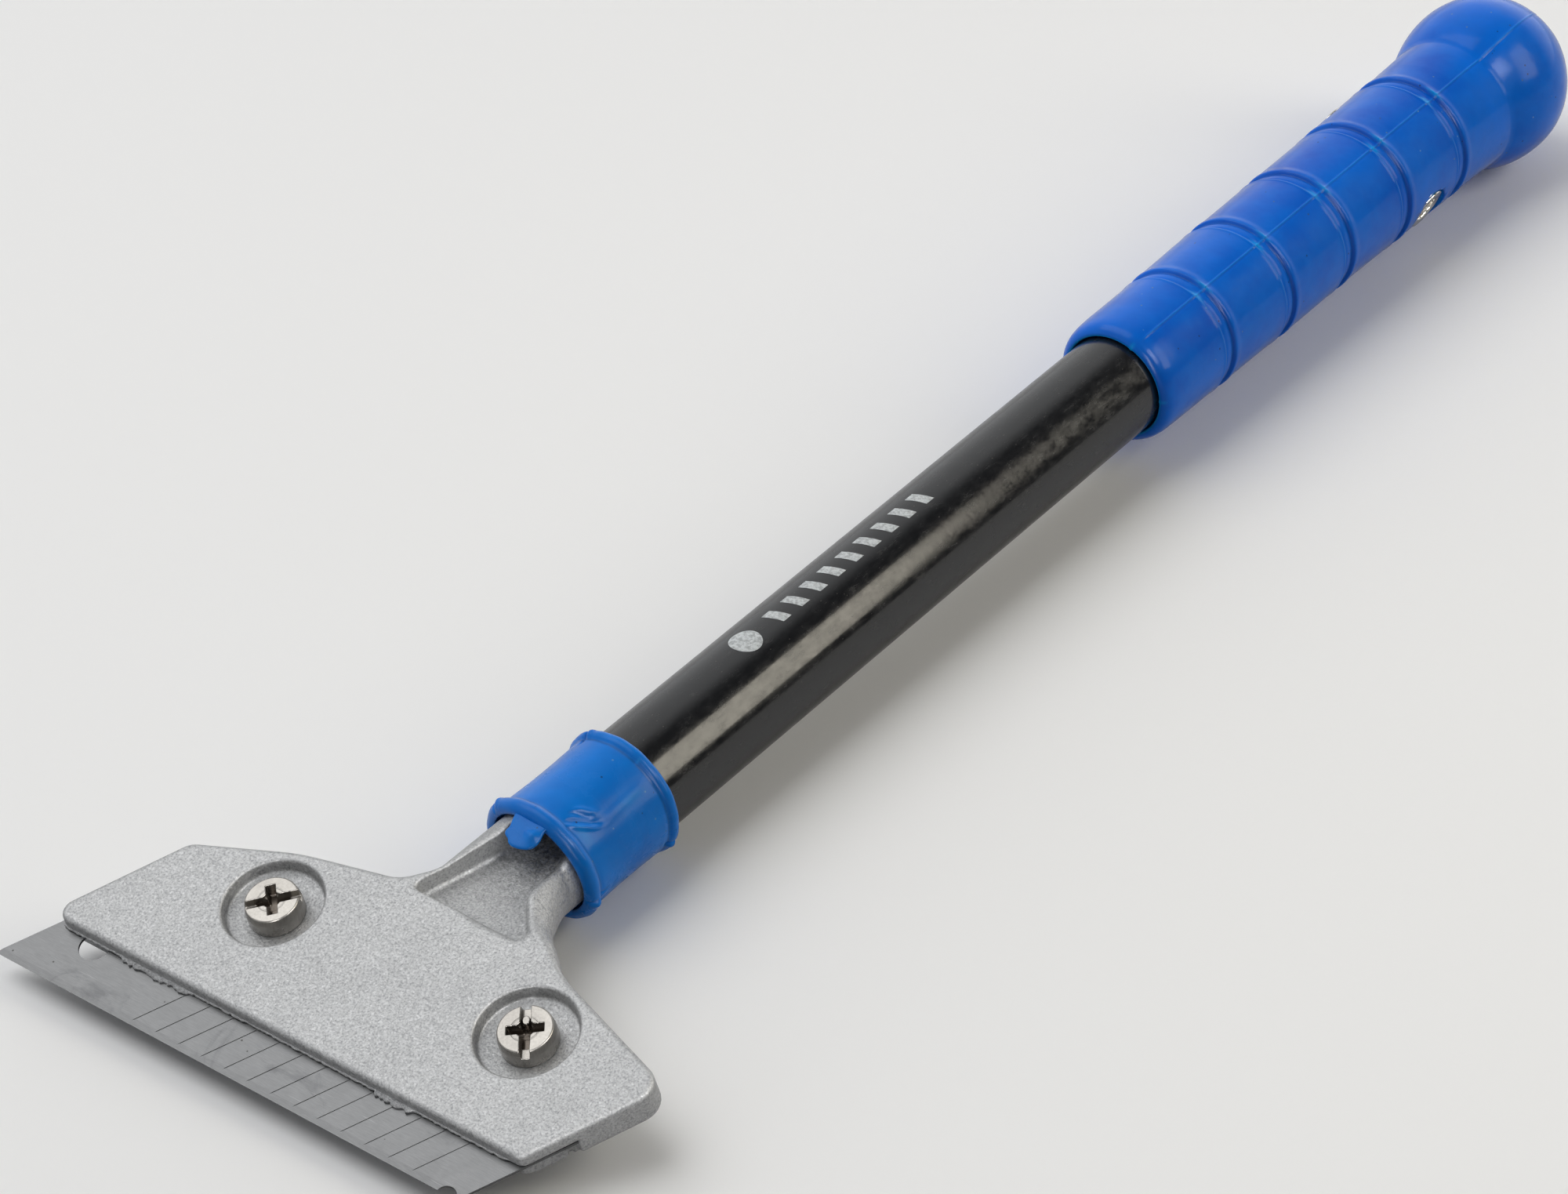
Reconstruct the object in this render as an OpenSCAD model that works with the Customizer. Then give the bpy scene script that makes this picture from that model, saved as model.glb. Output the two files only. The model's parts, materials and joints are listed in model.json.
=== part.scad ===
// Hand scraper with a clamped blade, a bent cast head, a tube handle and a rubber grip.
// It lies on a table at z = 0: blade toward -Y, handle toward +Y, blade edge along X.

/* [Blade] */
// Length of the cutting edge
blade_len = 100; // [90:1:104]
// Width from the cutting edge to the back of the blade
blade_w = 18; // [16:0.5:20]
// Thickness of the blade
blade_t = 0.5; // [0.4:0.05:0.7]
// Lean of the blade's ends and score lines from square
blade_lean = 30; // [20:1:35]
// Distance between score lines
score_pitch = 5; // [4:0.5:10]
// Blade showing in front of the head
blade_out = 9.7; // [6:0.1:10]

/* [Head] */
// Distance between the two clamp screws
screw_gap = 54; // [50:1:58]
// Thickness of the head behind the blade seat
head_t = 5.7; // [5.2:0.1:7]
// Thickness of the lip that lies on the blade
lip_t = 2.6; // [2.2:0.1:3.2]
// Width of the head along its front edge
head_w = 101.5; // [96:0.5:106]
// Lean of the head's ends from square
head_lean = 29; // [20:1:32]
// Bend between the head's top face and the handle
bend = 14; // [8:1:18]

/* [Handle] */
// Outside diameter of the tube
tube_d = 20; // [18:0.5:21]
// Wall of the tube
tube_wall = 1.2; // [0.8:0.1:2]
// Length of the rubber collar
collar_len = 23.4; // [20:0.2:30]
// Length of the grip, from its lip to the end of the ball
grip_len = 150; // [140:1:170]
// Distance along the handle from the screw line to the grip's lip
grip_start = 201.5; // [180:0.5:240]
// Radius of the ball at the end of the grip
ball_r = 17.5; // [17:0.1:20]
// Turn of the grip's parting line about the handle
grip_turn = 25; // [0:5:60]

/* [Hidden] */
$fn = 96;
hull_fn = 32;
fit = 0.02;            // gap between pieces that touch
over = 1;              // overrun of a cutting solid

// Head: x = 0 midway between the screws, y = 0 on the screw line, z = 0 on the top face
front_y = -19.6;
edge_y = front_y - blade_out;
seat_y = edge_y + blade_w + 0.1;
front_left_x = -60.4;
front_right_x = front_left_x + head_w;
side_y = 2.6;                            // where the ends meet the back edges
left_back_x = front_left_x + (side_y - front_y) * tan(head_lean);
right_back_x = front_right_x + (side_y - front_y) * tan(head_lean);
corner_r = 4;
pocket_y = 14;                           // floor of the pocket: where it starts, its height and its fall
pocket_floor = -3.4;
pocket_fall = 9;
neck_x = 2.6;                            // middle of the neck's root
neck_half = 11;
root_y = 14.8;
web = 3;                                 // how much farther the neck's root reaches on the right
root_from = 13;                          // the neck's taper starts in this band
root_to = 17;
tongue_y = 22;
head_right = [front_right_x, front_y];   // outline corners on the right
head_back = [right_back_x, side_y];
neck_right = [neck_x + neck_half + 5, 13.7];

// Blade, seen from above, from its left tip
tip_x = -64.6;
blade_z = -lip_t - fit;                  // top face of the blade
hole_from_tip = 14.5;
hole_d = 5.6;
first_score = 30;
score_w = 0.25;
score_deep = 0.1;
score_end = 8;                           // clear length after the last score line
bevel_w = 1.2;
notch_r = 2;

// Clamp
clamp_in = 4;                            // inset of the clamp plate from the head's ends
clamp_front_y = front_y + 0.9;
clamp_side_y = side_y - 3;
clamp_back_y = 9;
clamp_back_x = screw_gap / 2 - 8;
clamp_fall = 16;                         // slope of the underside toward the blade
nose_in = 1.8;
clamp_top = blade_z - blade_t - fit;
clamp_step = -head_t - 0.05;
clamp_nose = -7;
clamp_low = -9.4;

// M6 cheese-head screws and thin hex nuts
head_d = 9.8;
head_h = 3.8;
sink_deep = 3;
sink_top_r = 9.1;
sink_low_r = 8.6;
shank_d = 5.9;
shank_len = 6.2;
hole_clear_d = 6.6;
slot_w = 1.5;
slot_deep = 1.5;
cross_w = 1.7;
cross_len = 6.2;
cross_deep = 2.4;
left_slot_turn = 44;
right_slot_turn = -54;
nut_bore_d = 6;
nut_flat = 10;
nut_t = 3;

// Handle, measured along its axis from the screw line
axis_z = -head_t / 2;
tube_r = tube_d / 2;
bore_r = tube_r - tube_wall;
neck_r = tube_r - 0.5;
neck_s = 31;                             // where the neck becomes round
collar_start = 33.8;
collar_r = tube_r + 1.3;
bead_r = tube_r + 2.2;
bead_w = 3;
tube_start = collar_start + 8;
spigot_end = tube_start + 20;
pin_s = tube_start + 8;
pin_d = 4;
pin_len = 2 * sqrt(tube_r * tube_r - pin_d * pin_d / 4) - 0.1;
ball_s = grip_start + grip_len - ball_r;
tube_end = ball_s - 12;
groove_pitch = 20.5;
groove_start = 20.9;
groove_count = 5;
groove_half = 1.7;
groove_deep = 0.75;
grip_front_r = tube_r + 2.6;
grip_back_r = tube_r + 4;
waist_s = ball_s - 19;
eyelet_s = grip_start + groove_start + 3.5 * groove_pitch;
eyelet_r = 3.4;
eyelet_wall = 0.6;
flange_r = 4.6;
flange_t = 0.6;
eyelet_half = grip_front_r + 0.75;

// Rest: the collar's front bead and the ball touch the table
rise = asin((ball_r - bead_r) / (ball_s - collar_start - bead_w / 2));
axis_h = ball_r - ball_s * sin(rise);
pitch = rise + bend;

// Middle of the whole part in plan, so that the origin lies under it
low_y = edge_y * cos(pitch) - (blade_z - blade_t / 2 - axis_z) * sin(pitch);
high_y = ball_s * cos(rise) + ball_r;
high_x = corner_centre(head_right, head_back, neck_right, corner_r)[0] + corner_r;
mid_x = (tip_x + high_x) / 2;
mid_y = (low_y + high_y) / 2;

// Places its children in the head's own axes
module on_head() {
    translate([-mid_x, -mid_y, axis_h])
        rotate([pitch, 0, 0])
            translate([0, 0, -axis_z])
                children();
}

// Places its children on the handle's axis at s, with their +Z toward the ball
module on_handle(s = 0) {
    translate([-mid_x, -mid_y, axis_h])
        rotate([rise, 0, 0])
            translate([0, s, 0])
                rotate([-90, 0, 0])
                    children();
}

// Points of the arc that rounds corner b between a and c with radius r
function unit(v) = v / norm(v);
function half_angle(a, b, c) = acos(unit(a - b) * unit(c - b)) / 2;
function corner_centre(a, b, c, r) =
    b + unit(unit(a - b) + unit(c - b)) * r / sin(half_angle(a, b, c));
function corner(a, b, c, r, steps = 8) =
    let (centre = corner_centre(a, b, c, r),
         reach = r / tan(half_angle(a, b, c)),
         from = b + unit(a - b) * reach - centre,
         to = b + unit(c - b) * reach - centre,
         start = atan2(from[1], from[0]),
         turn = atan2(from[0] * to[1] - from[1] * to[0], from * to))
    [for (i = [0:steps]) centre + r * [cos(start + turn * i / steps), sin(start + turn * i / steps)]];

// Outline through corners given as [x, y, radius]
function outline(v) =
    let (n = len(v))
    [for (i = [0:n - 1])
        let (a = v[(i + n - 1) % n], b = v[i], c = v[(i + 1) % n])
        each (b[2] == 0 ? [[b[0], b[1]]]
              : corner([a[0], a[1]], [b[0], b[1]], [c[0], c[1]], b[2]))];

module head_outline() {
    polygon(outline([
        [front_left_x, front_y, 2.5],
        [each head_right, 2],
        [each head_back, corner_r],
        [each neck_right, 7],
        [neck_x + neck_half + web - 0.8, 18.2, 0],
        [neck_x + neck_half - 2, tongue_y, 0],
        [neck_x - neck_half + 1.5, tongue_y, 0],
        [neck_x - neck_half - 0.5, root_y, 6],
        [-30, 10.3, 40],
        [left_back_x, side_y + 0.4, corner_r]]));
}

// Recess in the top of the neck, narrowing toward the handle
module pocket_outline() {
    polygon(outline([
        [-7.9, 14.1, 0.8],
        [15.6, 14.1, 1.2],
        [9.8, 22.5, 6],
        [7, 38, 0],
        [-1.2, 38, 0],
        [-2.5, 30, 8]]));
}

module slab(x0, x1, y0, y1, z0, z1) {
    translate([x0, y0, z0])
        cube([x1 - x0, y1 - y0, z1 - z0]);
}

module head_casting() {
    color("gainsboro")
        difference() {
            union() {
                on_head()
                    translate([0, 0, -head_t])
                        linear_extrude(head_t)
                            head_outline();
                hull() {
                    on_head()
                        slab(neck_x - neck_half + 1, neck_x + neck_half + web, root_from, root_to, -head_t, -0.2);
                    on_handle(neck_s)
                        cylinder(r = neck_r - 0.3, h = 1, $fn = hull_fn);
                }
                on_handle(neck_s - 2)
                    cylinder(r = neck_r, h = tube_start - neck_s + 2 - fit);
                on_handle(tube_start - 3)
                    cylinder(r = bore_r - fit, h = spigot_end - tube_start + 3);
            }
            on_head()
                slab(-90, 90, front_y - over, seat_y, -head_t - over, -lip_t);
            on_head()
                for (side = [-1, 1])
                    translate([side * screw_gap / 2, 0, 0]) {
                        translate([0, 0, -sink_deep])
                            cylinder(r1 = sink_low_r, r2 = sink_top_r, h = sink_deep + 0.001);
                        translate([0, 0, -head_t - over])
                            cylinder(d = hole_clear_d, h = head_t + over);
                    }
            on_head()
                translate([0, pocket_y, pocket_floor])
                    rotate([-pocket_fall, 0, 0])
                        translate([0, -pocket_y, 0])
                            linear_extrude(12)
                                pocket_outline();
            on_handle(pin_s)
                rotate([0, 90, 0])
                    cylinder(d = pin_d + 2 * fit, h = 3 * tube_r, center = true);
        }
}

// X of the head's left or right end at y, moved inward by in
function left_end(y, in) = front_left_x + (y - front_y) * tan(head_lean) + in;
function right_end(y, in) = front_right_x + (y - front_y) * tan(head_lean) - in;

// Lower jaw: a raised nose presses the blade, and its underside slopes up to the blade
module clamp_plate() {
    color("silver")
        on_head()
            difference() {
                union() {
                    translate([0, 0, clamp_low])
                        linear_extrude(clamp_step - clamp_low)
                            polygon(outline([
                                [left_end(clamp_front_y, clamp_in), clamp_front_y, 1.5],
                                [right_end(clamp_front_y, clamp_in), clamp_front_y, 1.5],
                                [right_end(clamp_side_y, clamp_in), clamp_side_y, 3],
                                [clamp_back_x, clamp_back_y, 5],
                                [-clamp_back_x, clamp_back_y, 5],
                                [left_end(clamp_side_y, clamp_in), clamp_side_y, 3]]));
                    translate([0, 0, clamp_nose])
                        linear_extrude(clamp_top - clamp_nose)
                            polygon(outline([
                                [left_end(clamp_front_y, nose_in), clamp_front_y, 1],
                                [right_end(clamp_front_y, nose_in), clamp_front_y, 1],
                                [right_end(seat_y - 0.1, nose_in), seat_y - 0.1, 1],
                                [left_end(seat_y - 0.1, nose_in), seat_y - 0.1, 1]]));
                }
                translate([0, clamp_front_y, clamp_nose + 0.6])
                    rotate([-clamp_fall, 0, 0])
                        slab(-90, 90, -6, 9, -8, 0);
                for (side = [-1, 1])
                    translate([side * screw_gap / 2, 0, clamp_low - over]) {
                        cylinder(d = hole_clear_d, h = 10);
                        cylinder(d = (nut_flat + 2 * fit) / cos(30), h = over + nut_t + 0.2, $fn = 6);
                    }
            }
}

module nut(side) {
    color("dimgray")
        on_head()
            translate([side * screw_gap / 2, 0, clamp_low + 0.2 - fit])
                difference() {
                    cylinder(d = nut_flat / cos(30), h = nut_t, $fn = 6);
                    translate([0, 0, -over])
                        cylinder(d = nut_bore_d, h = nut_t + 2 * over);
                }
}

module nut_left() {
    nut(-1);
}

module nut_right() {
    nut(1);
}

module blade() {
    back_x = blade_w * tan(blade_lean);
    color("slategray")
        on_head()
            translate([tip_x, edge_y, blade_z - blade_t])
                difference() {
                    linear_extrude(blade_t)
                        polygon([[0, 0], [blade_len, 0], [blade_len + back_x, blade_w], [back_x, blade_w]]);
                    for (flip = [0, 1])
                        translate([-over, 0, flip * blade_t])
                            mirror([0, 0, flip])
                                rotate([90, 0, 90])
                                    linear_extrude(blade_len + 2 * over)
                                        polygon([[-over, -over], [bevel_w, 0], [0, blade_t / 2 - 0.01],
                                                 [-over, blade_t / 2 - 0.01]]);
                    translate([hole_from_tip, blade_w / 2, -over])
                        cylinder(d = hole_d, h = blade_t + 2 * over);
                    translate([blade_len - notch_r, -0.5, -over])
                        cylinder(r = notch_r, h = blade_t + 2 * over);
                    for (x = [first_score:score_pitch:blade_len - score_end])
                        translate([x, 0, blade_t - score_deep])
                            rotate([0, 0, -blade_lean])
                                translate([-score_w / 2, -over, 0])
                                    cube([score_w, 2 * blade_w, 1]);
                }
}

// Cheese-head screw with a slot and a cross recess, turned to the angle where it stopped
module screw(side, turn) {
    color("lightgray")
        on_head()
            translate([side * screw_gap / 2, 0, -sink_deep + fit])
                difference() {
                    union() {
                        cylinder(d = head_d, h = head_h - 0.4);
                        translate([0, 0, head_h - 0.4])
                            cylinder(d1 = head_d, d2 = head_d - 0.8, h = 0.4);
                        translate([0, 0, -shank_len])
                            cylinder(d = shank_d, h = shank_len + 0.1);
                    }
                    rotate([0, 0, turn]) {
                        translate([0, 0, head_h])
                            cube([2 * head_d, slot_w, 2 * slot_deep], center = true);
                        for (quarter = [0, 90])
                            rotate([0, 0, quarter])
                                translate([0, 0, head_h])
                                    cube([cross_len, cross_w, 2 * cross_deep], center = true);
                    }
                }
}

module screw_left() {
    screw(-1, left_slot_turn);
}

module screw_right() {
    screw(1, right_slot_turn);
}

// Pin across the tube and the spigot, hidden by the collar
module neck_pin() {
    color("gray")
        on_handle(pin_s)
            rotate([0, 90, 0])
                cylinder(d = pin_d, h = pin_len, center = true);
}

// Turns its children so that their +Z is the axis of the hanging hole
module across_grip() {
    on_handle(eyelet_s)
        rotate([0, 0, grip_turn])
            rotate([0, 90, 0])
                children();
}

module handle_tube() {
    color([0.1, 0.1, 0.11])
        difference() {
            on_handle(tube_start)
                cylinder(r = tube_r, h = tube_end - tube_start);
            on_handle(tube_start - over)
                cylinder(r = bore_r, h = tube_end - tube_start + 2 * over);
            on_handle(pin_s)
                rotate([0, 90, 0])
                    cylinder(d = pin_d + 2 * fit, h = 3 * tube_r, center = true);
            across_grip()
                cylinder(r = eyelet_r + fit, h = 3 * tube_r, center = true);
        }
}

// Rubber sleeve with a round bead at each end
module collar() {
    color([0.05, 0.4, 0.75])
        on_handle(collar_start)
            rotate_extrude()
                difference() {
                    union() {
                        translate([0, bead_w / 2])
                            square([collar_r, collar_len - bead_w]);
                        for (s = [bead_w / 2, collar_len - bead_w / 2])
                            translate([bead_r - bead_w / 2, s])
                                circle(d = bead_w, $fn = 24);
                        for (s = [0, collar_len - bead_w])
                            translate([0, s])
                                square([bead_r - bead_w / 2, bead_w]);
                    }
                    translate([0, -over])
                        square([tube_r + fit, collar_len + 2 * over]);
                }
}

// Radius of the grip at a distance s from its lip
function groove(s) =
    let (near = min([for (i = [0:groove_count - 1]) abs(s - groove_start - i * groove_pitch)]))
    near < groove_half ? groove_deep * (1 + cos(180 * near / groove_half)) / 2 : 0;
function taper(s) = grip_front_r + (grip_back_r - grip_front_r) * s / (waist_s - grip_start);
function lip(s) = s < 6 ? 1.1 * pow(1 - s / 6, 2) : 0;

module grip() {
    ball = ball_s - grip_start;
    waist = waist_s - grip_start;
    join = 10;                           // where the waist meets the ball, before its centre
    join_r = sqrt(ball_r * ball_r - join * join);
    waist_steps = 10;
    ball_steps = 20;
    color([0.05, 0.25, 0.7])
        difference() {
            on_handle(grip_start)
                rotate_extrude()
                    polygon(concat(
                        [[0, 0], [grip_front_r - 1.9, 0]],
                        [for (s = [0.4, 0.9, 2, 3.5, 5]) [grip_front_r - lip(s) + 0.01 * s, s]],
                        [for (i = [0:groove_count - 1])
                            let (g = groove_start + i * groove_pitch)
                            each [for (d = [-groove_half:groove_half / 3:groove_half + 0.01])
                                [taper(g + d) - groove(g + d), g + d]]],
                        [for (i = [0:waist_steps])
                            let (u = i / waist_steps, w = u * u * (3 - 2 * u))
                            [taper(waist) * (1 - w) + join_r * w,
                             waist - 4 + (ball - join - waist + 4) * u]],
                        [for (i = [1:ball_steps])
                            let (a = acos(-join / ball_r) * (1 - i / ball_steps))
                            [ball_r * sin(a), ball + ball_r * cos(a)]]));
            on_handle(grip_start - over)
                cylinder(r = tube_r + fit, h = tube_end - grip_start + over + 0.5);
            on_handle(grip_start - 0.01)
                cylinder(r1 = tube_r + 0.7, r2 = tube_r, h = 3);
            across_grip() {
                cylinder(r = eyelet_r + fit, h = 3 * tube_r, center = true);
                for (flip = [0, 1])
                    mirror([0, 0, flip])
                        translate([0, 0, eyelet_half - flange_t - fit])
                            cylinder(r = flange_r + 0.1, h = 10);
            }
        }
}

// Hollow rivet that lines the hanging hole and locks the grip to the tube
module hang_eyelet() {
    color("silver")
        across_grip()
            difference() {
                union() {
                    cylinder(r = eyelet_r, h = 2 * eyelet_half, center = true);
                    for (flip = [0, 1])
                        mirror([0, 0, flip])
                            translate([0, 0, eyelet_half - flange_t])
                                cylinder(r = flange_r, h = flange_t);
                }
                cylinder(r = eyelet_r - eyelet_wall, h = 3 * eyelet_half, center = true);
            }
}

head_casting();
clamp_plate();
nut_left();
nut_right();
blade();
screw_left();
screw_right();
neck_pin();
handle_tube();
collar();
grip();
hang_eyelet();
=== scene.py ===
import json
import math

import bmesh
import bpy
import numpy as np
from mathutils import Matrix, Vector


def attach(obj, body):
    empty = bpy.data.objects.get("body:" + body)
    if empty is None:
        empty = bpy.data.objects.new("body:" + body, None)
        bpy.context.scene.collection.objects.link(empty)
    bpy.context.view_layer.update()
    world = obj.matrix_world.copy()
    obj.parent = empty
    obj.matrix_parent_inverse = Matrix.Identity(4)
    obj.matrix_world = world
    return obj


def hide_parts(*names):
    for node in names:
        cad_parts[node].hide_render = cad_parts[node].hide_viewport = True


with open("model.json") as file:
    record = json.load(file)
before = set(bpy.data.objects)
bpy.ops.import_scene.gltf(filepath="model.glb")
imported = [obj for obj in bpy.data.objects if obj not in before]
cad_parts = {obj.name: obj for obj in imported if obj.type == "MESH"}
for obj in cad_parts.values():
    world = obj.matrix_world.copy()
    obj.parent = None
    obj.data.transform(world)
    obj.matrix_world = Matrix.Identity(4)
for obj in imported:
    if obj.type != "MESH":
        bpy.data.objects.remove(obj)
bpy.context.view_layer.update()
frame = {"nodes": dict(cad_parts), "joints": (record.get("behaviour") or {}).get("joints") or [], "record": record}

MM = 0.001
nodes = frame["nodes"]

# ---------------------------------------------------------------- axes of the head and of the handle, in mm
joints = {j["name"]: j for j in frame["joints"]}
mounts = {m["name"]: m for m in frame["record"]["mounts"]}
screw_at = [np.array(joints[n]["pos_m"]) / MM for n in ("screw_left_turn", "screw_right_turn")]
screw_x = (screw_at[1][0] - screw_at[0][0]) / 2
AXIS_Z = -2.85                                   # the handle's axis starts in the middle of the plate
X = np.array([1.0, 0.0, 0.0])
HEAD_UP = np.array(joints["screw_left_turn"]["axis"])
HEAD_BACK = np.cross(HEAD_UP, X)
HEAD_AT = (screw_at[0] + screw_at[1]) / 2
PIVOT = HEAD_AT + HEAD_UP * AXIS_Z
eyelet_at = np.array(mounts["hang_hole"]["pos_m"]) / MM - PIVOT
AXIS = eyelet_at / np.linalg.norm(eyelet_at)
UP = np.cross(X, AXIS)
EYELET_S = np.linalg.norm(eyelet_at)
EYELET_AXIS = np.array(mounts["hang_hole"]["axis"])
BEND_COS, BEND_SIN = HEAD_BACK @ AXIS, -(HEAD_UP @ AXIS)


def head(p):
    """World mm of points in the head's axes: x across, y back, z up from the plate's top."""
    p = np.asarray(p, float)
    return HEAD_AT + p[..., :1] * X + p[..., 1:2] * HEAD_BACK + p[..., 2:3] * HEAD_UP


def handle(r, s, turn):
    """World mm of points at radius r, distance s along the handle, turned from up toward +X."""
    r, s, turn = np.broadcast_arrays(np.asarray(r, float), s, turn)
    return (PIVOT + (r * np.sin(turn))[..., None] * X + s[..., None] * AXIS
            + (r * np.cos(turn))[..., None] * UP)


def smooth(a, b, x):
    t = np.clip((x - a) / (b - a), 0, 1)
    return t * t * (3 - 2 * t)


def bell(x, width):
    return np.exp(-(x / width) ** 2)


# ---------------------------------------------------------------- meshes
def piece(name, verts, faces, body, material, flat=False, stands_for=(), tone=None):
    """A mesh from world mm points that rides on a body."""
    mesh = bpy.data.meshes.new(name)
    mesh.from_pydata((np.asarray(verts) * MM).tolist(), [], [list(f) for f in faces])
    mesh.validate()
    solid = bmesh.new()
    solid.from_mesh(mesh)
    if solid.calc_volume(signed=True) < 0:                      # inside out
        mesh.flip_normals()
    solid.free()
    if not flat:
        mesh.shade_smooth()
    if tone is not None:
        mesh.attributes.new("tone", "FLOAT", "POINT").data.foreach_set("value", np.asarray(tone, np.float32))
    mesh.materials.append(material)
    obj = bpy.data.objects.new(name, mesh)
    bpy.context.scene.collection.objects.link(obj)
    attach(obj, body)
    if stands_for:
        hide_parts(*stands_for)
    return obj


def cut(obj, verts, faces):
    """Takes a closed shape, given in world mm, out of a piece."""
    mesh = bpy.data.meshes.new("cutter")
    mesh.from_pydata((np.asarray(verts) * MM).tolist(), [], [list(f) for f in faces])
    cutter = bpy.data.objects.new("cutter", mesh)
    bpy.context.scene.collection.objects.link(cutter)
    mod = obj.modifiers.new("cut", "BOOLEAN")
    mod.operation, mod.solver, mod.object = "DIFFERENCE", "EXACT", cutter
    bpy.context.view_layer.update()
    done = bpy.data.meshes.new_from_object(obj.evaluated_get(bpy.context.evaluated_depsgraph_get()))
    obj.modifiers.clear()
    obj.data = done
    bpy.data.objects.remove(cutter)
    return obj


def rings(shape, closed_ends=False):
    """Faces of rows of points, each row closed to a ring. closed_ends joins the last row to the first."""
    rows, cols = shape
    faces = []
    last = rows if closed_ends else rows - 1
    for i in range(last):
        j = (i + 1) % rows
        for k in range(cols):
            m = (k + 1) % cols
            faces.append((i * cols + k, i * cols + m, j * cols + m, j * cols + k))
    return faces


def tube_mesh(points):
    """Closed mesh from rings of points (rows, cols, 3), capped by a fan at each end."""
    rows, cols, _ = points.shape
    verts = points.reshape(-1, 3)
    faces = rings((rows, cols))
    verts = np.vstack([verts, points[0].mean(0), points[-1].mean(0)])
    a, b = rows * cols, rows * cols + 1
    for k in range(cols):
        m = (k + 1) % cols
        faces.append((m, k, a))
        faces.append(((rows - 1) * cols + k, (rows - 1) * cols + m, b))
    return verts, faces


def skin(field, low, step):
    """Mesh of the zero level of a grid of signed distances, with each vertex pulled onto the level."""
    inside = field < 0
    n = np.array(field.shape) - 1
    corners = [(i, j, k) for i in (0, 1) for j in (0, 1) for k in (0, 1)]
    total = sum(inside[i:n[0] + i, j:n[1] + j, k:n[2] + k].astype(np.uint8) for i, j, k in corners)
    mixed = (total > 0) & (total < 8)
    index = np.full(n, -1, np.int32)
    cells = np.argwhere(mixed)
    index[mixed] = np.arange(len(cells))
    place, count = np.zeros((len(cells), 3)), np.zeros(len(cells))
    for a in corners:
        for axis in range(3):
            if a[axis]:
                continue
            b = list(a)
            b[axis] = 1
            da = field[tuple((cells + a).T)]
            db = field[tuple((cells + b).T)]
            crosses = (da < 0) != (db < 0)
            t = np.where(crosses, da / np.where(crosses, da - db, 1), 0)
            place += crosses[:, None] * (np.array(a) + t[:, None] * (np.array(b) - a))
            count += crosses
    verts = cells + place / count[:, None]
    faces = []
    for axis in range(3):
        u, v = (axis + 1) % 3, (axis + 2) % 3
        one = [slice(1, n[d]) for d in range(3)]
        two = list(one)
        one[axis], two[axis] = slice(0, n[axis]), slice(1, n[axis] + 1)
        start = inside[tuple(one)]
        change = start != inside[tuple(two)]
        at = np.argwhere(change) + [0 if d == axis else 1 for d in range(3)]
        du, dv = np.eye(3, dtype=int)[u], np.eye(3, dtype=int)[v]
        quad = np.stack([index[tuple((at - o).T)] for o in (du + dv, dv, 0 * du, du)], 1)
        flip = ~start[change]
        quad[flip] = quad[flip][:, ::-1]
        faces.append(quad)
    faces = np.vstack(faces)
    edges = np.vstack([faces[:, [0, 1]], faces[:, [1, 2]], faces[:, [2, 3]], faces[:, [3, 0]]])

    def sample(p):
        base = np.clip(np.floor(p).astype(int), 0, n - 1)
        f = p - base
        value = 0
        for c in corners:
            weight = np.prod(np.where(c, f, 1 - f), axis=1)
            value = value + weight * field[tuple((base + c).T)]
        return value

    links = np.bincount(edges.ravel(), minlength=len(verts))
    relax, reach = 0.6, 0.6
    for _ in range(3):
        near = np.zeros_like(verts)
        for d in range(3):
            near[:, d] = (np.bincount(edges[:, 0], verts[edges[:, 1], d], len(verts))
                          + np.bincount(edges[:, 1], verts[edges[:, 0], d], len(verts)))
        verts = (1 - relax) * verts + relax * near / links[:, None]
        for _ in range(2):
            slope = np.stack([sample(verts + 0.5 * e) - sample(verts - 0.5 * e) for e in np.eye(3)], 1)
            move = -(sample(verts) / np.maximum((slope ** 2).sum(1), 1e-6))[:, None] * slope
            verts = verts + np.clip(move, -reach, reach)
    return low + verts * step, faces


def grid(low, high, step):
    """Sparse coordinate arrays of a box."""
    return np.meshgrid(*[np.arange(a, b + step, step, dtype=np.float32) for a, b in zip(low, high)],
                       indexing="ij", sparse=True)


def both(a, b, r):
    """What is in a and in b, its edge rounded with radius r."""
    return np.minimum(-r, np.maximum(a, b)) + np.hypot(np.maximum(r + a, 0), np.maximum(r + b, 0))


def either(a, b, r):
    """What is in a or in b, joined by a fillet of radius r."""
    return np.maximum(r, np.minimum(a, b)) - np.hypot(np.maximum(r - a, 0), np.maximum(r - b, 0))


def without(a, b, r):
    return both(a, -b, r)


def rounded(points):
    """Outline through corners given as (x, y, radius)."""
    out, n = [], len(points)
    for i, (x, y, r) in enumerate(points):
        b = np.array([x, y])
        if r == 0:
            out.append(b)
            continue
        a, c = np.array(points[i - 1][:2]), np.array(points[(i + 1) % n][:2])
        u, w = (a - b) / np.linalg.norm(a - b), (c - b) / np.linalg.norm(c - b)
        half = math.acos(np.clip(u @ w, -1, 1)) / 2
        centre = b + (u + w) / np.linalg.norm(u + w) * r / math.sin(half)
        p, q = b + u * r / math.tan(half) - centre, b + w * r / math.tan(half) - centre
        start = math.atan2(p[1], p[0])
        turn = math.atan2(p[0] * q[1] - p[1] * q[0], p @ q)
        for t in np.linspace(0, 1, 9):
            out.append(centre + r * np.array([math.cos(start + turn * t), math.sin(start + turn * t)]))
    return np.array(out)


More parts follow.
